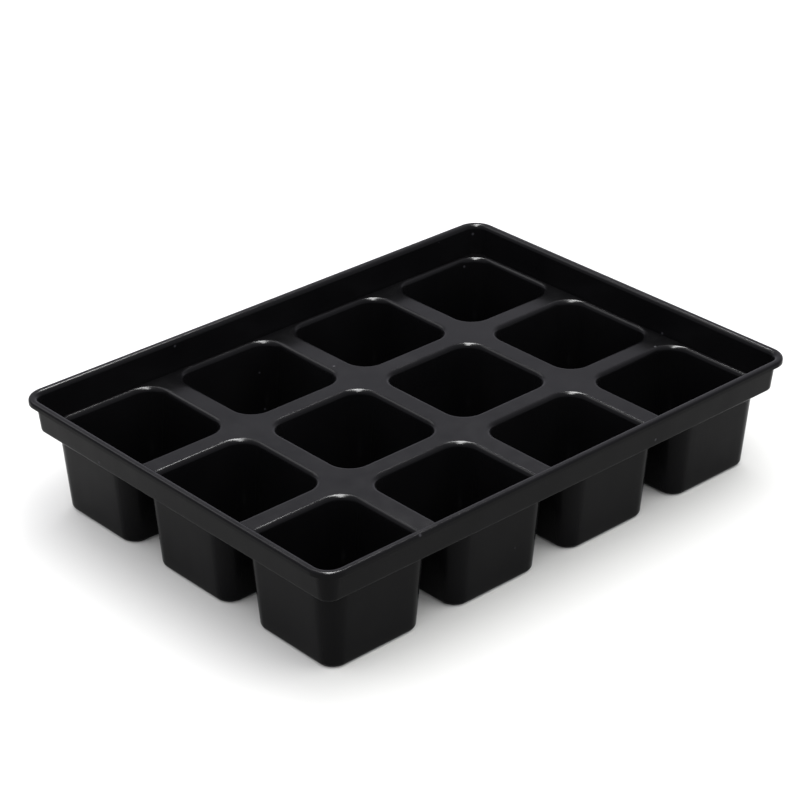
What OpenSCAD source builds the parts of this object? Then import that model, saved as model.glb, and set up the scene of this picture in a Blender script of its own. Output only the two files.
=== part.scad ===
// Twelve-cell seed tray insert: one thin vacuum-formed sheet, given as its formed regions.
// Origin: middle of the footprint, on the plane that the cell floors rest on. +X runs along the
// long side, +Y along the short side, +Z up. Millimetres.

/* [Cell grid] */
// Distance between cell centres along the long side
pitch_x = 43.5; // [39:0.5:60]
// Distance between cell centres along the short side
pitch_y = 42.3; // [38.5:0.1:60]
// Clear width of a cell along the long side, at deck level
cell_l = 35.5; // [30:0.1:35.9]
// Clear width of a cell along the short side, at deck level
cell_w = 34.7; // [30:0.1:34.9]
// Inside corner radius of a cell at deck level
cell_r = 6.4; // [6:0.1:9]
// Height of the deck's upper face above the plane that the cells rest on
deck_h = 26.7; // [20:0.1:45]
// Draft of the cell walls, in degrees from upright
cell_draft = 4.8; // [3:0.1:7]

/* [Side wall and rim] */
// Rise of the rim above the deck
wall_h = 8.9; // [6:0.1:14]
// Outward lean of the side wall, in degrees from upright
wall_draft = 6.2; // [4:0.1:10]
// Distance from the outer cells' centres to the wall's outer face, at deck level, long side
wall_margin_x = 21.3; // [21.1:0.1:26]
// Distance from the outer cells' centres to the wall's outer face, at deck level, short side
wall_margin_y = 20.8; // [20.7:0.1:26]
// Corner radius of the wall's outer face at deck level
wall_r = 4.0; // [3.2:0.1:8]
// Depth of the narrow channel between the deck's edge and the side wall
channel_d = 0.95; // [0.95:0.05:1.5]
// Height of the rolled bead at the top of the wall
bead_h = 1.6; // [1.6:0.1:2.4]
// Distance that the bead stands out beyond the top of the wall
bead_out = 2.1; // [1.6:0.1:2.6]

/* [Sheet and bends] */
// Thickness of the sheet
sheet_t = 0.7; // [0.5:0.05:0.7]
// Radius of the rounded lip round each cell, on the upper face
lip_r = 1.6; // [0.8:0.05:1.7]
// Radius of the bend at the foot of the side wall, on the inner face
foot_r = 0.15; // [0.1:0.05:0.15]
// Radius of the bend where the wall rolls out into the bead, on the inner face
bead_bend_r = 1.5; // [0.8:0.1:1.5]
// Radius of the bead's outer edge
bead_edge_r = 0.75; // [0.75:0.05:1.1]
// Radius of the bend between a cell's wall and its floor, on the outer face
floor_r = 1.7; // [0.8:0.1:3]
// Diameter of the drain hole in each cell's floor
drain_d = 8; // [4:0.5:12]

/* [Hidden] */
COLUMNS = ["a", "b", "c", "d"];
ROWS = 3;

BLACK = [0.045, 0.045, 0.047];
BEND_STEPS = 5;   // straight steps that stand for a quarter bend in a section
$fn = 64;

// Half distances between the corner axes of a cell, where its vertical corner cones turn
cell_ax = cell_l / 2 - cell_r;
cell_ay = cell_w / 2 - cell_r;
// Radial distance from a cell's corner axis at which its lip turns flat and the deck begins
lip_end = cell_r + lip_r * (1 - sin(cell_draft)) / cos(cell_draft);

// Half sizes of the wall's outer face at deck level, and of its corner axes
wall_x = pitch_x * (len(COLUMNS) - 1) / 2 + wall_margin_x;
wall_y = pitch_y * (ROWS - 1) / 2 + wall_margin_y;
wall_ax = wall_x - wall_r;
wall_ay = wall_y - wall_r;
// The channel: radial distance and height of the axis of the wall's foot bend, then the bend from
// the deck down into the channel, as tight as the sheet allows, and where the deck ends
foot_z = deck_h - channel_d + foot_r;
foot_x = wall_r - (foot_r + sheet_t) / cos(wall_draft) - (deck_h - foot_z) * tan(wall_draft);
crest_r = sheet_t + 0.05;
deck_end = foot_x - foot_r - crest_r;

rim_h = deck_h + wall_h;                 // top of the bead
wall_top = rim_h - bead_h;               // where the wall ends and the bead begins
wall_top_r = wall_r + (wall_top - deck_h) * tan(wall_draft);
bead_r = wall_top_r + bead_out;          // radial distance of the bead's outermost face
bead_in = wall_top_r - sheet_t / cos(wall_draft);

function arc(centre, r, from, to, steps = BEND_STEPS) =
    [for (i = [0 : steps]) let (a = from + (to - from) * i / steps)
        [centre[0] + r * cos(a), centre[1] + r * sin(a)]];

// Section of a cell, from the corner axis at x = 0 out to the deck: floor, bend, wall, lip.
// The upper face is listed from the deck down to the axis, then the lower face back up.
function cell_section() =
    let (lip_c = [lip_end, deck_h - lip_r],
         wall_u = cell_r + sheet_t / cos(cell_draft) - deck_h * tan(cell_draft),
         bend_c = [wall_u - floor_r * (1 - sin(cell_draft)) / cos(cell_draft), floor_r])
    concat(
        arc(lip_c, lip_r, 90, 180 - cell_draft),
        arc(bend_c, floor_r - sheet_t, -cell_draft, -90),
        [[0, sheet_t], [0, 0]],
        arc(bend_c, floor_r, -90, -cell_draft),
        arc(lip_c, lip_r - sheet_t, 180 - cell_draft, 90));

// Section of the side wall, from the deck's edge down into the channel, round the foot bend and up
// to the bead: the lower and outer face first, then the inner face back down to the deck
function wall_section() =
    let (crest_c = [deck_end, deck_h - crest_r],
         foot_c = [foot_x, foot_z])
    concat(
        arc(crest_c, crest_r - sheet_t, 90, 0),
        arc(foot_c, foot_r + sheet_t, 180, 360 - wall_draft, 2 * BEND_STEPS),
        [[wall_top_r, wall_top], [bead_in, wall_top]],
        arc(foot_c, foot_r, 360 - wall_draft, 180, 2 * BEND_STEPS),
        arc(crest_c, crest_r, 0, 90));

// Section of the bead: the sheet bends outward, runs level and turns down to a free edge
function bead_section() =
    let (bend_c = [bead_in + bead_bend_r, rim_h - bead_bend_r],
         edge_c = [bead_r - bead_edge_r, rim_h - bead_edge_r])
    concat(
        [[bead_in, wall_top]],
        arc(bend_c, bead_bend_r, 180, 90),
        arc(edge_c, bead_edge_r, 90, 0),
        [[bead_r, wall_top], [bead_r - sheet_t, wall_top]],
        arc(edge_c, bead_edge_r - sheet_t, 0, 90),
        arc(bend_c, bead_bend_r - sheet_t, 90, 180),
        [[bead_in + sheet_t, wall_top]]);

// One quarter of a ring: a corner turned about its axis, and the straight run that follows it
module ring_side(angle, ax, ay, run, points) {
    translate([ax, ay, 0]) rotate([0, 0, angle]) {
        rotate_extrude(angle = 90) polygon(points);
        rotate([90, 0, 0]) linear_extrude(run) polygon(points);
    }
}

// A section carried all the way round a rectangle with rounded corners
module ring(ax, ay, points) {
    ring_side(0, ax, ay, 2 * ay, points);
    ring_side(90, -ax, ay, 2 * ax, points);
    ring_side(180, -ax, -ay, 2 * ay, points);
    ring_side(270, ax, -ay, 2 * ax, points);
}

// Rectangle with rounded corners: half distances between its corner axes, and its radius
module rounded(ax, ay, r) {
    square([2 * ax, 2 * (ay + r)], center = true);
    square([2 * (ax + r), 2 * ay], center = true);
    for (x = [-ax, ax], y = [-ay, ay]) translate([x, y]) circle(r);
}

module at_cell(column, row) {
    translate([pitch_x * (column - (len(COLUMNS) - 1) / 2),
               pitch_y * (row - (ROWS + 1) / 2), 0]) children();
}

module rim_bead() {
    color(BLACK) ring(wall_ax, wall_ay, bead_section());
}

module side_wall() {
    color(BLACK) ring(wall_ax, wall_ay, wall_section());
}

module deck() {
    color(BLACK) difference() {
        translate([0, 0, deck_h - sheet_t]) linear_extrude(sheet_t)
            rounded(wall_ax, wall_ay, deck_end);
        for (column = [0 : len(COLUMNS) - 1], row = [1 : ROWS]) at_cell(column, row)
            translate([0, 0, deck_h - 2 * sheet_t]) linear_extrude(3 * sheet_t)
                rounded(cell_ax, cell_ay, lip_end);
    }
}

module cell(column, row) {
    color(BLACK) at_cell(column, row) difference() {
        union() {
            ring(cell_ax, cell_ay, cell_section());
            translate([-cell_ax, -cell_ay, 0]) cube([2 * cell_ax, 2 * cell_ay, sheet_t]);
        }
        translate([0, 0, -sheet_t]) cylinder(h = 3 * sheet_t, d = drain_d);
    }
}

rim_bead();
side_wall();
deck();
cell(0, 1);  // cell_a1
cell(0, 2);  // cell_a2
cell(0, 3);  // cell_a3
cell(1, 1);  // cell_b1
cell(1, 2);  // cell_b2
cell(1, 3);  // cell_b3
cell(2, 1);  // cell_c1
cell(2, 2);  // cell_c2
cell(2, 3);  // cell_c3
cell(3, 1);  // cell_d1
cell(3, 2);  // cell_d2
cell(3, 3);  // cell_d3
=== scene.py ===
import math

import bmesh
import bpy
from mathutils import Matrix, Vector


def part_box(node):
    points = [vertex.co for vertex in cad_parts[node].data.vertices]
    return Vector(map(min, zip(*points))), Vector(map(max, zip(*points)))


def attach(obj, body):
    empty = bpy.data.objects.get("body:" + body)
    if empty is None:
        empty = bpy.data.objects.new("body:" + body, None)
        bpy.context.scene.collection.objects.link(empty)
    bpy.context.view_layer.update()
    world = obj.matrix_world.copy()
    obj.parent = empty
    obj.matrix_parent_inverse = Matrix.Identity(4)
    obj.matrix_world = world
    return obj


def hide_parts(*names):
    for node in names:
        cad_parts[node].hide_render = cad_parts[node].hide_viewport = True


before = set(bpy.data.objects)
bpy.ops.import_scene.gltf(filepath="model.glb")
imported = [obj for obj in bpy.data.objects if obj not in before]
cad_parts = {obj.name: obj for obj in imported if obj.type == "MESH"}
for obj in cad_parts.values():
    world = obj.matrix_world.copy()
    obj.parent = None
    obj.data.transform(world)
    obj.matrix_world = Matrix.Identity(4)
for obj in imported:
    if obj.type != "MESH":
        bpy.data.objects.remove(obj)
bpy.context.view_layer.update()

MM = 0.001

# The sheet: how far its walls lean from upright, then radii in metres. CREST_SPARE is what the crest
# of the channel has beyond the sheet's thickness, FLOOR_CROWN the rise of a floor at its drain hole.
CELL_DRAFT = math.radians(4.8)
WALL_DRAFT = math.radians(6.2)
LIP_RADIUS = 1.6 * MM
FOOT_RADIUS = 0.15 * MM
CREST_SPARE = 0.05 * MM
BEAD_BEND = 1.5 * MM
BEAD_EDGE = 0.75 * MM
FLOOR_RADIUS = 1.7 * MM
CELL_CORNER = 6.4 * MM
WALL_CORNER = 4.0 * MM
DRAIN_RADIUS = 4.0 * MM
FLOOR_CROWN = 0.25 * MM

# Mesh density: steps along a bend, round a corner, along a straight run, down a wall, across a floor
# and across the deck from an opening to its tile's edge
ARC_STEPS = 9
CORNER_STEPS = 14
RUN_STEPS = 10
WALL_STEPS = 8
FLOOR_STEPS = 6
DECK_STEPS = 3

# Points nearer than these are one point, on a piece and between the deck's tiles, and a point this
# near a corner axis stands on it
SAME_POINT = 1e-7
SAME_DECK_POINT = 2e-6
ON_AXIS = 1e-9
# Edges that turn more than this stay sharp
SHARP_ANGLE = math.radians(35)

# Directions in a section: straight up and straight down
UP, DOWN = math.pi / 2, -math.pi / 2

COLUMNS = "abcd"
ROWS = (1, 2, 3)
# The outer columns and rows, and the direction in which each faces the side wall
ENDS = {COLUMNS[0]: -1, COLUMNS[-1]: 1}
SIDES = {ROWS[0]: -1, ROWS[-1]: 1}


# ---------------------------------------------------------------- the frame
deck_low, deck_high = (Vector(corner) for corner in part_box("deck"))
wall_low, wall_high = (Vector(corner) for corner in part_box("side_wall"))
bead_high = Vector(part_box("rim_bead")[1])

DECK_TOP = deck_high.z
SHEET = deck_high.z - deck_low.z
RIM_TOP = bead_high.z
WALL_TOP = wall_high.z

LIP_END = CELL_CORNER + LIP_RADIUS * (1 - math.sin(CELL_DRAFT)) / math.cos(CELL_DRAFT)


def cell_frame(name):
    """Centre of a cell, and the half distances between its corner axes."""
    low, high = (Vector(corner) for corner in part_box(name))
    centre = (low + high) / 2
    return centre.x, centre.y, (high.x - low.x) / 2 - LIP_END, (high.y - low.y) / 2 - LIP_END


# The side wall: its slope, rise and faces at its top, measured from its corner axes, where those axes
# stand, where the deck ends, and the axis of the foot bend in the channel
WALL_SLOPE = math.tan(WALL_DRAFT)
WALL_RISE = WALL_TOP - DECK_TOP
WALL_OUTER = WALL_CORNER + WALL_RISE * WALL_SLOPE
WALL_INNER = WALL_OUTER - SHEET / math.cos(WALL_DRAFT)
WALL_AX = wall_high.x - WALL_OUTER
WALL_AY = wall_high.y - WALL_OUTER
DECK_END = deck_high.x - WALL_AX
CREST_RADIUS = SHEET + CREST_SPARE
FOOT = (DECK_END + CREST_RADIUS + FOOT_RADIUS, wall_low.z + SHEET + FOOT_RADIUS)


# ---------------------------------------------------------------- sections
def arc(centre, radius, start, end, steps=ARC_STEPS):
    """Points of an arc in a section, angles in radians, both ends included."""
    points = []
    for i in range(steps + 1):
        a = start + (end - start) * i / steps
        points.append((centre[0] + radius * math.cos(a), centre[1] + radius * math.sin(a)))
    return points


def between(first, last, steps):
    """Points strictly between two points of a section."""
    return [(first[0] + (last[0] - first[0]) * i / steps,
             first[1] + (last[1] - first[1]) * i / steps) for i in range(1, steps)]


def cell_faces():
    """Upper and lower outline of a cell's section, each from the deck down to the flat floor."""
    lip = (LIP_END, DECK_TOP - LIP_RADIUS)
    outer_foot = CELL_CORNER + SHEET / math.cos(CELL_DRAFT) - DECK_TOP * math.tan(CELL_DRAFT)
    reach_in = FLOOR_RADIUS * (1 - math.sin(CELL_DRAFT)) / math.cos(CELL_DRAFT)
    bend = (outer_foot - reach_in, FLOOR_RADIUS)
    upper_lip = arc(lip, LIP_RADIUS, UP, math.pi - CELL_DRAFT)
    upper_bend = arc(bend, FLOOR_RADIUS - SHEET, -CELL_DRAFT, DOWN)
    lower_lip = arc(lip, LIP_RADIUS - SHEET, UP, math.pi - CELL_DRAFT)
    lower_bend = arc(bend, FLOOR_RADIUS, -CELL_DRAFT, DOWN)
    upper = upper_lip + between(upper_lip[-1], upper_bend[0], WALL_STEPS) + upper_bend
    lower = lower_lip + between(lower_lip[-1], lower_bend[0], WALL_STEPS) + lower_bend
    return upper, lower


def wall_section():
    """Closed section of the side wall: deck's edge, channel, foot bend, wall to the bead, and back."""
    crest = (DECK_END, DECK_TOP - CREST_RADIUS)
    outer_crest = arc(crest, CREST_RADIUS - SHEET, UP, 0)
    outer_foot = arc(FOOT, FOOT_RADIUS + SHEET, -math.pi, -WALL_DRAFT, 2 * ARC_STEPS)
    inner_foot = arc(FOOT, FOOT_RADIUS, -WALL_DRAFT, -math.pi, 2 * ARC_STEPS)
    inner_crest = arc(crest, CREST_RADIUS, 0, UP)
    outer_top, inner_top = (WALL_OUTER, WALL_TOP), (WALL_INNER, WALL_TOP)
    return (outer_crest + outer_foot + between(outer_foot[-1], outer_top, WALL_STEPS)
            + [outer_top, inner_top] + between(inner_top, inner_foot[0], WALL_STEPS)
            + inner_foot + inner_crest)


def bead_section():
    """Closed section of the rolled bead: a bend outward, a level strip and down to a free edge."""
    outer = bead_high.x - WALL_AX
    bend = (WALL_INNER + BEAD_BEND, RIM_TOP - BEAD_BEND)
    edge = (outer - BEAD_EDGE, RIM_TOP - BEAD_EDGE)
    return ([(WALL_INNER, WALL_TOP)]
            + arc(bend, BEAD_BEND, math.pi, UP) + arc(edge, BEAD_EDGE, UP, 0)
            + [(outer, WALL_TOP), (outer - SHEET, WALL_TOP)]
            + arc(edge, BEAD_EDGE - SHEET, 0, UP) + arc(bend, BEAD_BEND - SHEET, UP, math.pi)
            + [(WALL_INNER + SHEET, WALL_TOP)])


# ---------------------------------------------------------------- meshes
def stations(ax, ay):
    """Places round a rectangle with rounded corners: (axis x, axis y, direction of the section)."""
    corners = ((ax, ay), (-ax, ay), (-ax, -ay), (ax, -ay))
    places = []
    for k, (x, y) in enumerate(corners):
        start = k * math.pi / 2
        places += [(x, y, start + i / CORNER_STEPS * math.pi / 2)
                   for i in range(CORNER_STEPS + 1)]
        to_x, to_y = corners[(k + 1) % 4]
        end = start + math.pi / 2
        places += [(x + (to_x - x) * i / RUN_STEPS, y + (to_y - y) * i / RUN_STEPS, end)
                   for i in range(1, RUN_STEPS)]
    return places


def at(place, point):
    """A point of a section, set up at a place."""
    x, y, direction = place
    out, height = point
    return Vector((x + out * math.cos(direction), y + out * math.sin(direction), height))


def close_rings(bm, loops):
    """Quads between neighbouring closed loops of points, the last joined to the first."""
    rows = [[bm.verts.new(point) for point in loop] for loop in loops]
    for row, following in zip(rows, rows[1:] + rows[:1]):
        for i in range(len(row)):
            j = (i + 1) % len(row)
            bm.faces.new((row[i], row[j], following[j], following[i]))


def finish_mesh(bm, name):
    """Turn a bmesh into an object: doubles joined, normals outward, smooth but for sharp edges."""
    bmesh.ops.remove_doubles(bm, verts=bm.verts, dist=SAME_POINT)
    bmesh.ops.recalc_face_normals(bm, faces=bm.faces)
    for face in bm.faces:
        face.smooth = True
    for edge in bm.edges:
        if len(edge.link_faces) == 2 and edge.calc_face_angle() > SHARP_ANGLE:
            edge.smooth = False
    mesh = bpy.data.meshes.new(name)
    bm.to_mesh(mesh)
    bm.free()
    piece = bpy.data.objects.new(name, mesh)
    bpy.context.collection.objects.link(piece)
    return piece


def ring_piece(name, ax, ay, section):
    """A closed section carried round a rectangle with rounded corners."""
    bm = bmesh.new()
    close_rings(bm, [[at(place, point) for point in section] for place in stations(ax, ay)])
    return finish_mesh(bm, name)


def floor_points(edge, hole, height):
    """The flat floor from its outer edge to the drain hole, crowned a little towards the hole."""
    points = []
    for i in range(1, FLOOR_STEPS + 1):
        t = i / FLOOR_STEPS
        point = edge.lerp(hole, t)
        point.z = height + FLOOR_CROWN * math.sin(t * math.pi / 2) ** 2
        points.append(point)
    return points


def cell_piece(name):
    """One drafted cup: lip, wall, foot bend and floor, down to the drain hole, as one closed shell."""
    cx, cy, ax, ay = cell_frame(name)
    upper, lower = cell_faces()
    centre = Vector((cx, cy, 0))
    loops = []
    for place in stations(ax, ay):
        top = [at(place, point) for point in upper]
        under = [at(place, point) for point in lower]
        turn = math.atan2(top[-1].y, top[-1].x)
        hole = Vector((DRAIN_RADIUS * math.cos(turn), DRAIN_RADIUS * math.sin(turn), 0))
        top += floor_points(top[-1], hole, SHEET)
        under += floor_points(under[-1], hole, 0)
        loops.append([centre + point for point in top + under[::-1]])
    bm = bmesh.new()
    close_rings(bm, loops)
    return finish_mesh(bm, name + "_formed")


def reach(dx, dy, direction, corner):
    """Where a line from a corner axis meets the tile's edge, dx and dy away, its corner rounded."""
    c, s = math.cos(direction), math.sin(direction)
    if c * dy > s * dx:
        x, y = dx, dx * s / c
    else:
        x, y = dy * c / s, dy
    if corner and x > dx - corner and y > dy - corner:
        mx, my = dx - corner, dy - corner
        along = mx * c + my * s
        length = along + math.sqrt(along * along - mx * mx - my * my + corner * corner)
        x, y = length * c, length * s
    return x, y


def tile_edge(place, ax, ay, sides, rounded):
    """The point of the deck tile's edge that faces one place on the opening's outline."""
    x, y, direction = place
    c, s = math.cos(direction), math.sin(direction)
    right, top, left, bottom = sides
    if abs(abs(x) - ax) < ON_AXIS and abs(abs(y) - ay) < ON_AXIS:
        qx, qy = (1 if x > 0 else -1), (1 if y > 0 else -1)
        dx = (right if qx > 0 else left) - ax
        dy = (top if qy > 0 else bottom) - ay
        turn = math.atan2(abs(s), abs(c))
        step = math.pi / 2 / CORNER_STEPS
        diagonal = math.atan2(dy, dx)
        radius = DECK_END if (qx, qy) == rounded else 0
        if not radius and abs(turn - diagonal) <= step / 2:
            turn = diagonal
        ex, ey = reach(dx, dy, turn, radius)
        return Vector((x + qx * ex, y + qy * ey, 0))
    if abs(c) > abs(s):
        return Vector((right if c > 0 else -left, y, 0))
    return Vector((x, top if s > 0 else -bottom, 0))


def deck_piece(name):
    """The flat web: one tile round each cell's opening, merged into one plate and given thickness."""
    bm = bmesh.new()
    boxes = {(c, r): cell_frame(f"cell_{c}{r}") for c in COLUMNS for r in ROWS}
    pitch_x = boxes["b", 1][0] - boxes["a", 1][0]
    pitch_y = boxes["a", 2][1] - boxes["a", 1][1]
    for (c, r), (cx, cy, ax, ay) in boxes.items():
        sides = (deck_high.x - cx if ENDS.get(c) == 1 else pitch_x / 2,
                 deck_high.y - cy if SIDES.get(r) == 1 else pitch_y / 2,
                 cx - deck_low.x if ENDS.get(c) == -1 else pitch_x / 2,
                 cy - deck_low.y if SIDES.get(r) == -1 else pitch_y / 2)
        rounded = (ENDS.get(c), SIDES.get(r))
        rows = []
        for place in stations(ax, ay):
            inner = at(place, (LIP_END, 0))
            outer = tile_edge(place, ax, ay, sides, rounded)
            row = []
            for i in range(DECK_STEPS + 1):
                point = inner.lerp(outer, i / DECK_STEPS)
                row.append(bm.verts.new((cx + point.x, cy + point.y, DECK_TOP)))
            rows.append(row)
        for row, following in zip(rows, rows[1:] + rows[:1]):
            for i in range(DECK_STEPS):
                bm.faces.new((row[i], row[i + 1], following[i + 1], following[i]))
    bmesh.ops.remove_doubles(bm, verts=bm.verts, dist=SAME_DECK_POINT)
    under = bmesh.ops.extrude_face_region(bm, geom=bm.faces[:])
    moved = [item for item in under["geom"] if isinstance(item, bmesh.types.BMVert)]
    bmesh.ops.translate(bm, verts=moved, vec=(0, 0, -SHEET))
    return finish_mesh(bm, name)


# ---------------------------------------------------------------- material
# Index of refraction, which sets how strongly the sheet mirrors
GLOSS_INDEX = 1.125

# Colour: carbon black, its darkest and palest tint, and the tone's drift as noise scale and detail
BLACK = 0.0026
DARK_TINT = (0.8, 0.8, 0.84)
PALE_TINT = (1.2, 1.2, 1.22)
TONE_NOISE = (45, 4)

# Pale specks, partly dust and partly painted glints: their colour, how fine the random grid is that
# they lie on, the distances from a grid point between which a speck fades, and the random values
# between which a grid point comes to have one
DUST_AND_GLINT = (0.030, 0.030, 0.032, 1)
DUST_AND_GLINT_GRID = 140
SPECK_FADE = (0.03, 0.07)
DUST_AND_GLINT_CHOICE = (0.74, 0.78)

# Roughness: satin and its noise, what rubbing adds and its noise, and what a speck of dust and painted
# glint adds
SATIN = (0.18, 0.24)
SATIN_NOISE = (60, 5)
RUBBED = (-0.03, 0.03)
RUBBED_NOISE = (260, 3, (1, 1, 0.25))
DULLED = (0, 0.3)

# Ranges of values that are spread over a result: a noise's, and a share from none to all
NOISE_RANGE = (0.3, 0.7)
SHARE = (0, 1)

# Relief: strength, height and noise of the sheet's slow waves, the draw lines and the fine grain
WAVES = (0.25, 0.6 * MM, (70, 1))
DRAW_LINES = (0.15, 0.08 * MM, (420, 1, (1, 1, 0.04)))
GRAIN = (0.12, 0.03 * MM, (2600, 2))


def black_sheet():
    """Black formed polystyrene: satin skin, slow waves in the sheet, fine grain, faint rubs, pale
    specks of dust and painted glints.
    """
    material = bpy.data.materials.new("black_sheet")
    material.use_nodes = True
    nodes, links = material.node_tree.nodes, material.node_tree.links
    nodes.clear()
    output = nodes.new("ShaderNodeOutputMaterial")
    shader = nodes.new("ShaderNodeBsdfPrincipled")
    links.new(shader.outputs["BSDF"], output.inputs["Surface"])
    shader.inputs["IOR"].default_value = GLOSS_INDEX
    place = nodes.new("ShaderNodeTexCoord").outputs["Object"]

    def noise(scale, detail, stretch=None):
        source = place
        if stretch:
            mapping = nodes.new("ShaderNodeMapping")
            mapping.inputs["Scale"].default_value = stretch
            links.new(place, mapping.inputs["Vector"])
            source = mapping.outputs["Vector"]
        texture = nodes.new("ShaderNodeTexNoise")
        texture.inputs["Scale"].default_value = scale
        texture.inputs["Detail"].default_value = detail
        links.new(source, texture.inputs["Vector"])
        return texture.outputs["Fac"]

    def spread(value, to, source=NOISE_RANGE):
        node = nodes.new("ShaderNodeMapRange")
        node.inputs["From Min"].default_value, node.inputs["From Max"].default_value = source
        node.inputs["To Min"].default_value, node.inputs["To Max"].default_value = to
        links.new(value, node.inputs["Value"])
        return node.outputs["Result"]

    def combine(operation, first, second):
        node = nodes.new("ShaderNodeMath")
        node.operation = operation
        links.new(first, node.inputs[0])
        links.new(second, node.inputs[1])
        return node.outputs["Value"]

    def relief(strength, height, pattern, under=None):
        bump = nodes.new("ShaderNodeBump")
        bump.inputs["Strength"].default_value = strength
        bump.inputs["Distance"].default_value = height
        links.new(noise(*pattern), bump.inputs["Height"])
        if under:
            links.new(under, bump.inputs["Normal"])
        return bump.outputs["Normal"]

    # colour: carbon black with a slow drift of tone
    tone = nodes.new("ShaderNodeMix")
    tone.data_type = "RGBA"
    tone.inputs["A"].default_value = (*(BLACK * part for part in DARK_TINT), 1)
    tone.inputs["B"].default_value = (*(BLACK * part for part in PALE_TINT), 1)
    links.new(spread(noise(*TONE_NOISE), SHARE), tone.inputs["Factor"])

    # dust and painted glints: a pale speck at some of the grid's points, partly dust and partly a
    # painted glint of light
    grid = nodes.new("ShaderNodeTexVoronoi")
    grid.inputs["Scale"].default_value = DUST_AND_GLINT_GRID
    links.new(place, grid.inputs["Vector"])
    split = nodes.new("ShaderNodeSeparateColor")
    links.new(grid.outputs["Color"], split.inputs["Color"])
    speck = spread(grid.outputs["Distance"], SHARE[::-1], SPECK_FADE)
    chosen = spread(split.outputs["Red"], SHARE, DUST_AND_GLINT_CHOICE)
    dust_and_glint = combine("MULTIPLY", speck, chosen)
    # the pale speck colour, partly dust and partly a painted glint, mixed over the black
    dust_and_glint_colour = nodes.new("ShaderNodeMix")
    dust_and_glint_colour.data_type = "RGBA"
    dust_and_glint_colour.inputs["B"].default_value = DUST_AND_GLINT
    links.new(dust_and_glint, dust_and_glint_colour.inputs["Factor"])
    links.new(tone.outputs["Result"], dust_and_glint_colour.inputs["A"])
    links.new(dust_and_glint_colour.outputs["Result"], shader.inputs["Base Color"])

    # roughness: satin, smoother where hands and compost have rubbed it, dull on the specks
    satin = spread(noise(*SATIN_NOISE), SATIN)
    rubbed = spread(noise(*RUBBED_NOISE), RUBBED)
    worn = combine("ADD", satin, rubbed)
    dull = combine("ADD", worn, spread(dust_and_glint, DULLED, SHARE))
    links.new(dull, shader.inputs["Roughness"])

    # relief: slow waves of the sheet, then draw lines down the walls, then fine grain
    waves = relief(*WAVES)
    drawn = relief(*DRAW_LINES, under=waves)
    links.new(relief(*GRAIN, under=drawn), shader.inputs["Normal"])
    return material


SHEET_MATERIAL = black_sheet()


def keep(piece, node):
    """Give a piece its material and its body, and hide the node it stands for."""
    piece.data.materials.append(SHEET_MATERIAL)
    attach(piece, "root")
    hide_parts(node)


keep(ring_piece("rim_bead_formed", WALL_AX, WALL_AY, bead_section()), "rim_bead")
keep(ring_piece("side_wall_formed", WALL_AX, WALL_AY, wall_section()), "side_wall")
keep(deck_piece("deck_formed"), "deck")
for column in COLUMNS:
    for row in ROWS:
        keep(cell_piece(f"cell_{column}{row}"), f"cell_{column}{row}")


# ---------------------------------------------------------------- floor, light and camera
# The floor: half its width, its faces along a side, its colour and roughness
FLOOR_HALF = 6
FLOOR_FACES = 8
FLOOR_COLOUR = (0.560, 0.568, 0.514)
FLOOR_ROUGHNESS = 0.9

# Studio: strength near the horizon and overhead, the heights between which it changes, and its tint
STUDIO = (1.44, 2.07, 0.5, 0.75)
STUDIO_TINT = (1.0, 0.985, 1.09)

# Lamps: distance behind, to the right and above, width and depth, and brightness. The first lights
# by diffuse light only, and the two cards show in the gloss only.
SIDE_LAMP = (0.0, 0.6, 1.0, (1.0, 1.0), 1.4)
GLOSS_CARD = (0.08, 0.0, 0.9, (0.17, 1.2), 145)
SIDE_CARD = (0.5, -0.5, 0.8, (0.5, 0.5), 6)

# Camera: where it stands as seen from its target, in metres and radians, its lens and sensor in
# millimetres, and the nearest and farthest distance that it sees
VIEW_AZIMUTH = math.radians(-42.28)
VIEW_ELEVATION = math.radians(28.23)
VIEW_DISTANCE = 0.7355
VIEW_ROLL = math.radians(-0.21)
VIEW_TARGET = Vector((-0.0012, 0.0034, DECK_TOP))
LENS = 115.1
SENSOR_WIDTH = 36
CLIP = (0.01, 50)


def floor():
    """A large flat floor of plain pale paper."""
    paper = bpy.data.materials.new("studio_paper")
    paper.use_nodes = True
    shader = paper.node_tree.nodes["Principled BSDF"]
    shader.inputs["Base Color"].default_value = (*FLOOR_COLOUR, 1)
    shader.inputs["Roughness"].default_value = FLOOR_ROUGHNESS
    bm = bmesh.new()
    bmesh.ops.create_grid(bm, x_segments=FLOOR_FACES, y_segments=FLOOR_FACES, size=FLOOR_HALF)
    mesh = bpy.data.meshes.new("studio_floor")
    bm.to_mesh(mesh)
    bm.free()
    ground = bpy.data.objects.new("studio_floor", mesh)
    bpy.context.collection.objects.link(ground)
    ground.data.materials.append(paper)


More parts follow.
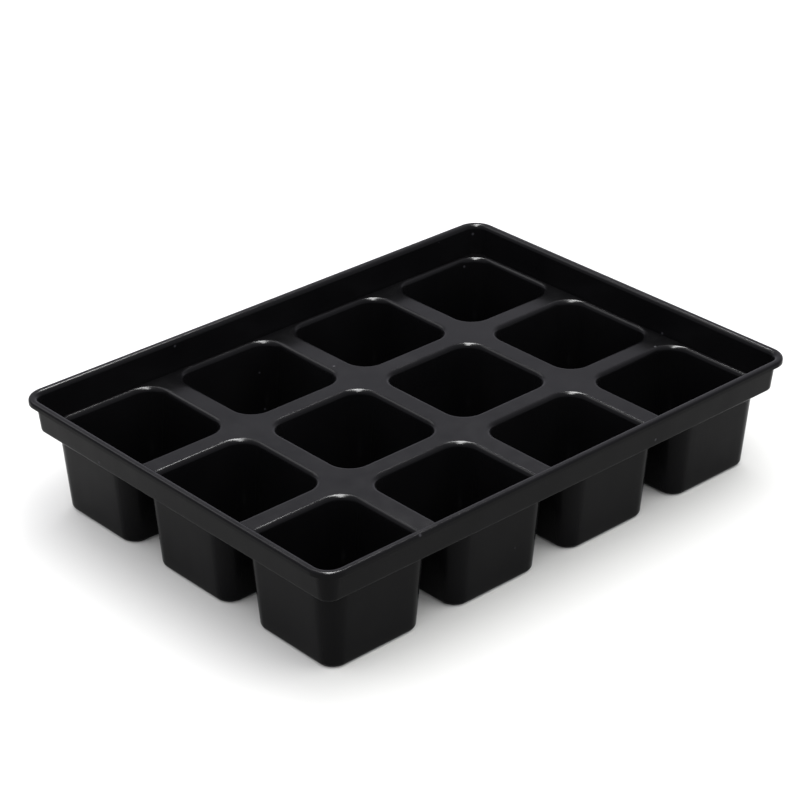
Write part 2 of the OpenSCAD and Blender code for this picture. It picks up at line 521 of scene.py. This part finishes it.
def panel(name, back, right, height, size, radiance, diffuse=True, glossy=True):
    """A lamp turned to the tray, placed by its distances behind, to the right of and above it."""
    behind = Vector((-math.sin(VIEW_AZIMUTH), math.cos(VIEW_AZIMUTH), 0))
    across = Vector((behind.y, -behind.x, 0))
    place = behind * back + across * right + Vector((0, 0, height))
    light = bpy.data.lights.new(name, "AREA")
    light.shape = "RECTANGLE"
    light.size, light.size_y = size
    light.energy = radiance * math.pi * size[0] * size[1]
    lamp = bpy.data.objects.new(name, light)
    bpy.context.collection.objects.link(lamp)
    lamp.location = place
    lamp.rotation_euler = (-place).to_track_quat("-Z", "Y").to_euler()
    lamp.visible_diffuse = diffuse
    lamp.visible_glossy = glossy


def cyclorama(low, high, start, end):
    """A pale studio all round that brightens towards the ceiling."""
    world = bpy.data.worlds.new("studio")
    bpy.context.scene.world = world
    world.use_nodes = True
    nodes, links = world.node_tree.nodes, world.node_tree.links
    background = nodes["Background"]
    coords = nodes.new("ShaderNodeTexCoord")
    split = nodes.new("ShaderNodeSeparateXYZ")
    links.new(coords.outputs["Generated"], split.inputs["Vector"])
    ramp = nodes.new("ShaderNodeMapRange")
    ramp.interpolation_type = "SMOOTHSTEP"
    ramp.inputs["From Min"].default_value = start
    ramp.inputs["From Max"].default_value = end
    ramp.inputs["To Min"].default_value = low
    ramp.inputs["To Max"].default_value = high
    links.new(split.outputs["Z"], ramp.inputs["Value"])
    links.new(ramp.outputs["Result"], background.inputs["Strength"])
    background.inputs["Color"].default_value = (*STUDIO_TINT, 1)


def camera():
    """The photograph's camera, aimed at its target from the photograph's direction."""
    data = bpy.data.cameras.new("view")
    data.lens = LENS
    data.sensor_width = SENSOR_WIDTH
    data.clip_start, data.clip_end = CLIP
    eye = bpy.data.objects.new("view", data)
    bpy.context.collection.objects.link(eye)
    away = Vector((math.sin(VIEW_AZIMUTH) * math.cos(VIEW_ELEVATION),
                   -math.cos(VIEW_AZIMUTH) * math.cos(VIEW_ELEVATION), math.sin(VIEW_ELEVATION)))
    eye.location = VIEW_TARGET + away * VIEW_DISTANCE
    aim = (-away).to_track_quat("-Z", "Y").to_matrix().to_4x4()
    eye.rotation_euler = (aim @ Matrix.Rotation(VIEW_ROLL, 4, "Z")).to_euler()
    bpy.context.scene.camera = eye


floor()
cyclorama(*STUDIO)
panel("side_lamp", *SIDE_LAMP, glossy=False)
panel("gloss_card", *GLOSS_CARD, diffuse=False)
panel("side_card", *SIDE_CARD, diffuse=False)
camera()
bpy.context.scene.view_settings.view_transform = "Standard"
